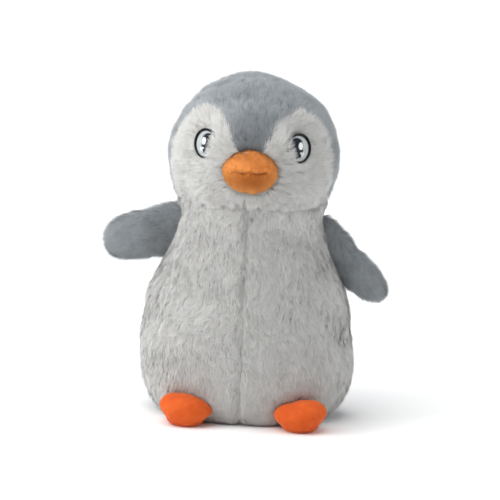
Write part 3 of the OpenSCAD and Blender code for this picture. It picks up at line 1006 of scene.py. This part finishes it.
def hang(obj, body, other, start, end):
    """Bakes the object's transform into its mesh."""
    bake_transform(obj)


NECK_BEND = ("torso", "neck", (0, 0, 120), (0, 0, 146))
HEAD_BEND = ("neck", "head", (0, 0, FOLD_Z - 1), (0, 0, FOLD_Z + 12))
TUFT = 3.4              # distance between the tufts of the pile
PILE = {"white": (white_fur, white_knit, "white_plush"), "grey": (grey_fur, grey_knit, "grey_plush"),
        "dusky": (forehead_fur_painted_shade, grey_knit, "grey_plush")}


def plush(node, panel, side, pile, seed, relief, flow, bend, keep=None, depth=-0.5, spacing=0.56, **look):
    """One sewn panel: its knitted backing, which stands for the CAD node, and its pile."""
    strand, backing, slot = PILE[pile]
    cloth = skin(node + "_backing", panel, side, relief, depth)
    assign(cloth, backing)
    hang(cloth, *bend)
    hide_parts(node)
    rng = np.random.default_rng(seed)
    roots = roots_on(panel, side, relief, spacing, rng, TUFT)
    pile_obj = fur(node + "_pile", roots, flow, rng, keep_off=keep, **look)
    assign(pile_obj, strand)
    hang(pile_obj, *bend)


ON_BODY = dict(relief=body_relief, flow=body_flow, bend=NECK_BEND)
ON_HEAD = dict(relief=head_relief, flow=head_flow, bend=HEAD_BEND)
FINE = dict(depth=0.9, spacing=0.48, length=8.0, lift=4.4, half=0.13)
for name, side in SIDES.items():
    number = 10 if side > 0 else 20
    edge = FACE_EDGE[name]
    plush("belly_" + name, belly_panel, side, "white", number + 1, **ON_BODY,
          length=8.6, lift=4.6, trim=body_trim)
    plush("back_" + name, back_panel, side, "grey", number + 2, **ON_BODY,
          length=8.8, lift=4.5, trim=body_trim)
    plush("face_" + name, face_panel(edge), side, "white", number + 3, **ON_HEAD, **FINE,
          keep=clear_face(side), trim=head_trim)
    plush("head_side_" + name, side_panel(edge), side, "grey", number + 4, **ON_HEAD,
          length=8.5, lift=4.4, trim=head_trim)
plush("forehead_gusset", forehead_panel, 1.0, "dusky", 35, **ON_HEAD, **FINE, keep=clear_face(1.0))


# ---- wings

def wing_back(x):
    """How far a wing lies behind the body's middle, so that the belly's pile covers its root."""
    return 9.0 * (1 - smooth((np.abs(x) - 50) / 26))


def wing_line(name):
    """A wing seen from the front: its middle and up direction along it, its half width and half depth."""
    raised = name == "right"
    root = np.array([47.0, 127.5] if raised else [48.0, 121.5])
    bend = np.array([76.0, 124.0] if raised else [67.0, 112.0])
    tip = np.array([100.3, 117.5] if raised else [93.5, 88.5])
    tip_up = unit(np.array([0.12, 1.0]) if raised else np.array([0.62, 0.78]))
    widths = (18.5, 15.8, 13.8) if raised else (21.0, 12.0, 9.8)
    depths = (8.5, 7.6, 6.0) if raised else (9.5, 8.6, 7.0)

    def at(s):
        s = s[..., None]
        middle = root * (1 - s) ** 2 + bend * 2 * s * (1 - s) + tip * s ** 2
        up = unit(np.array([0.0, 1.0]) * (1 - smooth(s / 0.5)) + tip_up * smooth(s / 0.5))
        return middle, up

    def half(values):
        """A half-size along the wing, from three values, rounded off at the tip."""
        first, second, third = values
        start = 0.7 if raised else 0.74

        def size(s):
            early = first + (second - first) * smooth(s / 0.5)
            late = second + (third - second) * smooth((s - 0.5) / 0.5)
            tip_share = np.clip((s - start) / (1 - start), 0, 1)
            return np.where(s < 0.5, early, late) * np.sqrt(np.maximum(0.003, 1 - tip_share ** 2.2))

        return size

    return at, half(widths), half(depths)


def wing_panel(name, first):
    """Half of a wing's skin, from root to tip: the front from 0 degrees, the back from 180."""
    at, half_w, half_d = wing_line(name)

    def panel(s, t):
        angle = first + 180 * t
        middle, up = at(s)
        flat = middle + up * (half_w(s) * cosd(angle))[..., None]
        return np.stack([flat[..., 0], wing_back(flat[..., 0]) - half_d(s) * sind(angle), flat[..., 1]], -1)

    return panel


def off_body(p, n, mid, tip):
    """Drops the strands whose roots are inside the body."""
    wide = body_half(p[:, 2], body_half_w, NECK_HALF_W) - 5
    deep = body_half(p[:, 2], body_half_d, NECK_HALF_D) - 5
    kept = (p[:, 0] / wide) ** 2 + (p[:, 1] / deep) ** 2 > 1
    return p[kept], n[kept], mid[kept], tip[kept], kept


for name, side in SIDES.items():
    number = 40 if side > 0 else 50
    swell = no_swell
    front = wing_panel(name, 0)
    steps = np.linspace(0, 1, 24)
    rings = np.stack([front(np.full(36, s), -np.arange(36) / 18) * [side, 1, 1] for s in steps])
    form = blob("wing_form", rings)
    stuffed(form, 2.6, 1.6, lambda p: np.abs(p[:, 0]) < 52, pressure=5.0)
    swell = swell_of(form, 5.0)

    def wing_relief(p, n, swell=swell):
        seam = 0.8 * np.exp(-((p[..., 1] - wing_back(p[..., 0])) / 1.6) ** 2)
        return 0.5 * lumps(p, 17, 7) + np.clip(swell(p, n), -1, 2) * 0.8 - seam

    at_tip = np.array([side, 0, -0.1]) if name == "right" else np.array([side * 0.8, 0, -0.75])

    def wing_flow(p, at_tip=at_tip):
        return unit(np.tile(at_tip, (len(p), 1)) + np.array([0, 0, -0.35]))

    bend = ("torso", "wing_" + name, (side * 51, 0, 127), (side * 67, 0, 127))
    for extra, first in ((1, 0), (2, 180)):
        layer = "wing_front_" if first == 0 else "wing_back_"
        plush(layer + name, wing_panel(name, first), side, "grey", number + extra, wing_relief, wing_flow,
              bend, keep=off_body, spacing=0.46, length=8.0, lift=3.9, half=0.14)


# ---- beak

def beak_point(x_share, v_share):
    """Front of the beak. x_share runs from corner to corner, v_share from rim to rim."""
    a = 88 * x_share
    b = 88 * v_share
    half_h = np.where(v_share < 0, BEAK_DOWN, BEAK_UP)
    x = beak_half_w * sind(a)
    z = BEAK_Z + 1.0 * cosd(a) * cosd(b) + half_h * cosd(a) * sind(b)
    out = BEAK_OUT * cosd(a) ** 0.8 * cosd(b) ** np.where(v_share < 0, 1.25, 1.15)
    return np.stack([x, head_y(x, z) + 1.5 - out, z], -1)


def mouth_crease(p):
    """The puckered seam across the beak, which fades out before its corners."""
    line = MOUTH_Z - 0.0025 * p[..., 0] ** 2 + 0.35 * np.sin(p[..., 0] * 0.55 + 1)
    gap = p[..., 2] - line
    fade = 1 - smooth((np.abs(p[..., 0]) - 10) / 7)
    pucker = 0.4 * np.sin(p[..., 0] * 2.3 + 1.5 * lumps(p, 7, 13)) + 0.25 * np.sin(p[..., 0] * 1.1 + 2)
    crease = -1.5 * np.exp(-(gap / 1.0) ** 2) * (1 + 1.1 * pucker) - 0.8 * np.exp(-(gap / 3.0) ** 2)
    ridge = 0.7 * np.exp(-((gap - 2.2) / 1.5) ** 2)
    return (crease + ridge + pucker * np.exp(-(gap / 3.0) ** 2) * 1.3) * fade


def half_beak(upper):
    def panel(s, t):
        return beak_point(2 * t - 1, s if upper else s - 1)
    return panel


beak_swell = no_swell
across = np.linspace(-0.97, 0.97, 20)
front = np.stack([beak_point(across, np.full(20, v)) for v in np.linspace(-0.97, 0.97, 22)])
back = front[:, ::-1].copy()
back[..., 1] = head_y(back[..., 0], back[..., 2]) + 2.5
form = blob("beak_form", np.concatenate([front, back], 1))
stuffed(form, 1.7, 1.0, lambda p: np.abs(p[:, 2] - MOUTH_Z) < 0.9, pressure=6.0)
beak_swell = swell_of(form, 4.0)


def beak_relief(p, n):
    soft = 0.25 * lumps(p, 9, 12) + 0.4 * np.clip(beak_swell(p, n), -1, 1.2)
    return mouth_crease(p) + soft


VELOUR_IN = 0.6         # the velour's cloth lies this far inside its nap's surface
NAP_IN = 0.7            # and the nap's roots this far
NAP = dict(length=1.5, lift=1.0, half=0.1, clump=0.25, stray=0.5, swirl=0.9)


def velour_piece(node, panel, side, relief, body, seed, look, flow, rows, cols):
    """A velour panel with its short nap. The cloth stands for the CAD node."""
    p, n = grid(panel, rows, cols, side, relief, VELOUR_IN)
    cloth = shell(node + "_velour", p, p - n * SKIN_T)
    rng = np.random.default_rng(seed)
    roots = roots_on(panel, side, lambda q, m: relief(q, m) + SKIN_IN - NAP_IN, 0.42, rng, 1.3)
    fuzz = fur(node + "_nap", roots, flow, rng, **NAP)
    for piece, paint in zip((cloth, fuzz), ORANGE[look]):
        assign(piece, paint)
        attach(piece, body)
    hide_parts(node)


for node, seed in (("beak_upper", 61), ("beak_lower", 62)):
    panel = half_beak(node == "beak_upper")
    velour_piece(node, panel, 1.0, beak_relief, "head", seed, node, body_flow, 90, 120)


# ---- feet

FOOT_SHIFT = (2.3, 2.0, 0)      # from the CAD foot, so that the belly's pile hangs over the heel
FOOT_HALF_W = 17.0
FOOT_HALF_L = 15.0
FOOT_TOP = 19.8
FOOT_SOLE = 1.2         # height of the sole's underside
FOOT_EDGE = 3.2         # height of the seam with the sole, under the toe
FOOT_RISE = (2.5, 1.5)  # how much higher that seam is at the outer and at the inner side
FOOT_TUCK = 0.3         # how far the upper draws in to that seam
FOOT_ROUND = 0.22       # a smaller number gives steeper sides and a flatter top
FOOT_SLANT = 0.15       # how much higher the top is towards the outer side
FOOT_SPLAY = math.radians(8)


def foot_place(name):
    """A foot's middle."""
    low, high = box_mm("foot_sole_" + name)
    return (low + high) / 2 + np.array(FOOT_SHIFT)


def foot_world(local, side, centre):
    """From the foot's own x (outwards), y (towards the toe is minus) and z."""
    c, s = math.cos(FOOT_SPLAY), math.sin(FOOT_SPLAY)
    x = local[..., 0] * c - local[..., 1] * s
    y = local[..., 0] * s + local[..., 1] * c
    return np.stack([x + side * centre[0], y + centre[1], local[..., 2]], -1)


def foot_point(px, py, upper):
    """A point of a foot for a place in the unit disc: px outwards, py towards the heel."""
    far = np.minimum(px ** 2 + py ** 2, 1)
    seam = FOOT_EDGE + np.where(px > 0, *FOOT_RISE) * np.abs(px) ** 2.5
    if upper:
        heel = 1 - 0.4 * smooth((py + 0.15) / 1.1)
        swell = np.maximum(0, 1 - far) ** FOOT_ROUND
        z = seam + (FOOT_TOP - seam) * heel * swell * (1 + FOOT_SLANT * px)
        bulge = 1 - FOOT_TUCK * np.maximum(0, 1 - swell / 0.5) ** 1.4
    else:
        z = FOOT_SOLE + (seam - FOOT_SOLE - 0.2) * far ** 3
        bulge = 1 - FOOT_TUCK + 0 * far
    return np.stack([FOOT_HALF_W * px * bulge, FOOT_HALF_L * py * bulge, z], -1)


def even_steps(share):
    """From -1 to 1 across a foot, in steps that are about as long on its steep sides as on top."""
    u = np.sin(np.linspace(-0.5, 0.5, 2001) * np.pi)
    rise = (FOOT_TOP - FOOT_EDGE) * np.maximum(0, 1 - u ** 2) ** FOOT_ROUND
    length = np.cumsum(np.hypot(np.diff(FOOT_HALF_W * u), np.diff(rise)))
    return np.interp(share, np.concatenate([[0], length]) / length[-1], u)


def foot_panel(side, centre, upper):
    """s goes over the foot from heel to toe, or under it back to the heel, t outwards."""
    def panel(s, t):
        place = disc(even_steps(t), -even_steps(s)) if upper else disc(2 * t - 1, 2 * s - 1)
        return foot_world(foot_point(*place, upper), side, centre)
    return panel


def foot_form(side, centre):
    """The foot's own shape, a little smaller, as a closed form."""
    angle = -np.arange(32) * np.pi / 16
    levels = [(far, False) for far in np.linspace(0.1, 1, 8)]
    levels += [(far, True) for far in (0.9999, 0.997, 0.98, 0.94, 0.86, 0.72, 0.5, 0.3, 0.1)]
    rings = np.stack([foot_point(far * np.cos(angle), far * np.sin(angle), upper) for far, upper in levels])
    middle = np.array([0, -5.5, 8.0])
    rings = middle + (rings - middle) * [0.78, 0.62, 0.74]
    return blob("form", foot_world(rings, side, centre) * [side, 1, 1])


def foot_relief(p, n):
    return 0.3 * lumps(p, 13, 31) + 0.15 * lumps(p, 6, 32)


def toe_flow(p):
    return unit(np.tile([0.0, -1.0, -0.4], (len(p), 1)))


for name, side in SIDES.items():
    centre = foot_place(name)
    number = 70 if side > 0 else 80
    velour_piece("foot_upper_" + name, foot_panel(side, centre, True), side, foot_relief,
                 "foot_" + name, number + 1, "foot", toe_flow, 90, 90)
    velour_piece("foot_sole_" + name, foot_panel(side, centre, False), side, no_swell,
                 "foot_" + name, number + 2, "foot", toe_flow, 60, 60)


# ---- stuffing, pellets and base

BASE_EDGE_Z = 3.6       # the base's edge meets the body at this height


def wad(node, body, material, voxel, seed, depth=1.2, inset=0.0, form=None, room=None):
    """A lumpy filling in the space that the CAD solid holds, or in a form given.

    It lies inset plus up to depth inside that form, and room(p) further in.
    """
    obj = form
    if obj is None:
        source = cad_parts[node]
        source.data.calc_loop_triangles()
        index = np.array([v.vertices[:] for v in source.data.loop_triangles])
        obj = make_mesh("form", points_of(source), [], index)
    obj.name = node.replace("_stuffing", "_wadding") if "stuffing" in node else node + "_sewn"
    remesh(obj, voxel)
    p = points_of(obj)
    n = vectors_of(obj, "normal")
    coarse, fine = (0.5 - 0.5 * lumps(p, size, number) for size, number in ((14, seed), (5, seed + 1)))
    sink = inset + depth * coarse + 0.3 * depth * fine
    if room is not None:
        sink = sink + room(p)
    set_points(obj, p - n * np.maximum(sink, 0)[:, None])
    obj.data.polygons.foreach_set("use_smooth", np.full(len(obj.data.polygons), True))
    assign(obj, material)
    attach(obj, body)
    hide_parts(node)


def wing_form(name, side, inset):
    """The wing's own shape, a little smaller, as a closed form."""
    at, half_w, half_d = wing_line(name)
    steps = np.linspace(0.36, 0.93, 16)
    middle, up = at(steps)
    around = -np.arange(28) * 2 * np.pi / 28
    wide = (half_w(steps) - inset)[:, None] * np.cos(around)
    deep = (half_d(steps) - inset)[:, None] * np.sin(around)
    flat = middle[:, None] + up[:, None] * wide[..., None]
    return blob("form", np.stack([flat[..., 0] * side, wing_back(flat[..., 0]) - deep, flat[..., 1]], -1))


wad("body_stuffing", "torso", wadding, 3.0, 91)
wad("neck_stuffing", "neck", wadding, 2.5, 93)
wad("head_stuffing", "head", wadding, 3.0, 95, inset=2.5,
    room=lambda p: 3.5 * smooth((174 - p[:, 2]) / 12))
wad("beak_stuffing", "head", wadding, 1.2, 97, 0.6, 2.2)
wad("pellet_bag", "torso", cotton, 2.5, 98, 1.0)
for name, side in SIDES.items():
    wad("wing_stuffing_" + name, "wing_" + name, wadding, 1.8, 99, 0.8,
        form=wing_form(name, side, 3.2))
    wad("foot_stuffing_" + name, "foot_" + name, wadding, 1.4, 101, 0.6,
        form=foot_form(side, foot_place(name)))


def base_disc(z, inset):
    """The flat base, turned up at its edge to meet the body."""
    wide = body_half(BASE_EDGE_Z, body_half_w, NECK_HALF_W) - inset
    deep = body_half(BASE_EDGE_Z, body_half_d, NECK_HALF_D) - inset

    def panel(s, t):
        px, py = disc(2 * t - 1, 2 * s - 1)
        edge = np.clip(px ** 2 + py ** 2, 0, 1) ** 8
        return np.stack([wide * px, deep * py, z + 2.0 * edge], -1)
    return panel


under = grid(base_disc(0.7, 1.0), 60, 60, 1.0, lambda p, n: 0.25 * lumps(p, 20, 111))[0]
base = shell("base_cloth", under, under + np.array([0, 0, 1.5]))
assign(base, knit_paint("base_lining", (0.5, 0.49, 0.46), (0.62, 0.61, 0.58)))
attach(base, "torso")
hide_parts("base_panel")


# ---- eyes: redrawn lenses over discs, cups and washers that keep their CAD shapes

def clear_dome(name, side):
    """The domed lens, standing a hair in front of the printed disc."""
    centre, look, out, up = eye_frame(side)
    out_in = np.linspace(1, 0.02, 16)
    radii = np.concatenate([np.linspace(0.02, 1, 6), out_in])
    stand = np.concatenate([np.full(6, 0.58), 0.6 + 4.4 * (1 - out_in ** 2)])
    angle = np.arange(64) * 2 * np.pi / 64 * side
    flat = out * np.cos(angle)[:, None] + up * np.sin(angle)[:, None]
    rings = centre + flat[None] * (radii * EYE_R * 0.995)[:, None, None] + look * stand[:, None, None]
    lens = blob(name + "_lens", rings)
    assign(lens, clear)
    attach(lens, "head")
    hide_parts(name)


for name, side in SIDES.items():
    clear_dome("eye_dome_" + name, side)
    assign(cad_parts["eye_iris_" + name], iris_paint("iris_film_" + name, side))
    assign(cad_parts["eye_cup_" + name], black)
    assign(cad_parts["eye_washer_" + name], milky)


# ---- floor, light and camera

def floor_paint():
    paint = Paint("pale_floor", Specular_IOR_Level=0.2)
    paint.colour(paint.mix(paint.noise(3, 2), (0.93, 0.93, 0.93), (0.96, 0.96, 0.96)))
    paint.rough(paint.spread(paint.noise(9, 2), 0.8, 0.9))
    return paint.mat


FLOOR = 6000
corners = [[-FLOOR, -FLOOR, 0], [FLOOR, -FLOOR, 0], [FLOOR, FLOOR, 0], [-FLOOR, FLOOR, 0]]
floor = make_mesh("floor", corners, [[0, 1, 2, 3]], [])
assign(floor, floor_paint())

world = bpy.data.worlds.new("studio")
world.use_nodes = True
backdrop = world.node_tree.nodes["Background"]
backdrop.inputs["Color"].default_value = (0.96, 0.98, 1.0, 1)
backdrop.inputs["Strength"].default_value = 0.27
SCENE.world = world


def light(name, kind, place, aim, power, **settings):
    data = bpy.data.lights.new(name, kind)
    data.energy = power
    for key, value in settings.items():
        setattr(data, key, value)
    obj = bpy.data.objects.new(name, data)
    obj.location = place
    obj.rotation_euler = (Vector(aim) - Vector(place)).to_track_quat("-Z", "Y").to_euler()
    SCENE.collection.objects.link(obj)


light("side_left", "AREA", (-1.3, -0.65, 0.8), (0, 0, 0.14), 12, shape="DISK", size=0.9)
light("side_right", "AREA", (1.4, -0.1, 0.9), (0, 0, 0.14), 6, shape="DISK", size=1.0)
light("overhead", "SUN", (-0.3, 0, 1), (0, 0, 0), 2.7, angle=math.radians(75))

SCENE.view_settings.view_transform = "Standard"
SCENE.view_settings.look = "None"

TARGET = Vector((-0.4, 0, 115.7)) * MM
TURN = math.radians(3)
RISE = math.radians(12)
ROLL = math.radians(2.6)
DISTANCE = 4.0
FRAME_WIDTH = 0.35      # how much of the scene the picture spans at the target
camera_data = bpy.data.cameras.new("camera")
camera_data.lens = camera_data.sensor_width * DISTANCE / FRAME_WIDTH
camera = bpy.data.objects.new("camera", camera_data)
SCENE.collection.objects.link(camera)
back = Vector((math.sin(TURN) * math.cos(RISE), -math.cos(TURN) * math.cos(RISE), math.sin(RISE)))
camera.location = TARGET + back * DISTANCE
aim = (-back).to_track_quat("-Z", "Y").to_matrix().to_4x4() @ Matrix.Rotation(ROLL, 4, "Z")
camera.rotation_euler = aim.to_euler()
SCENE.camera = camera
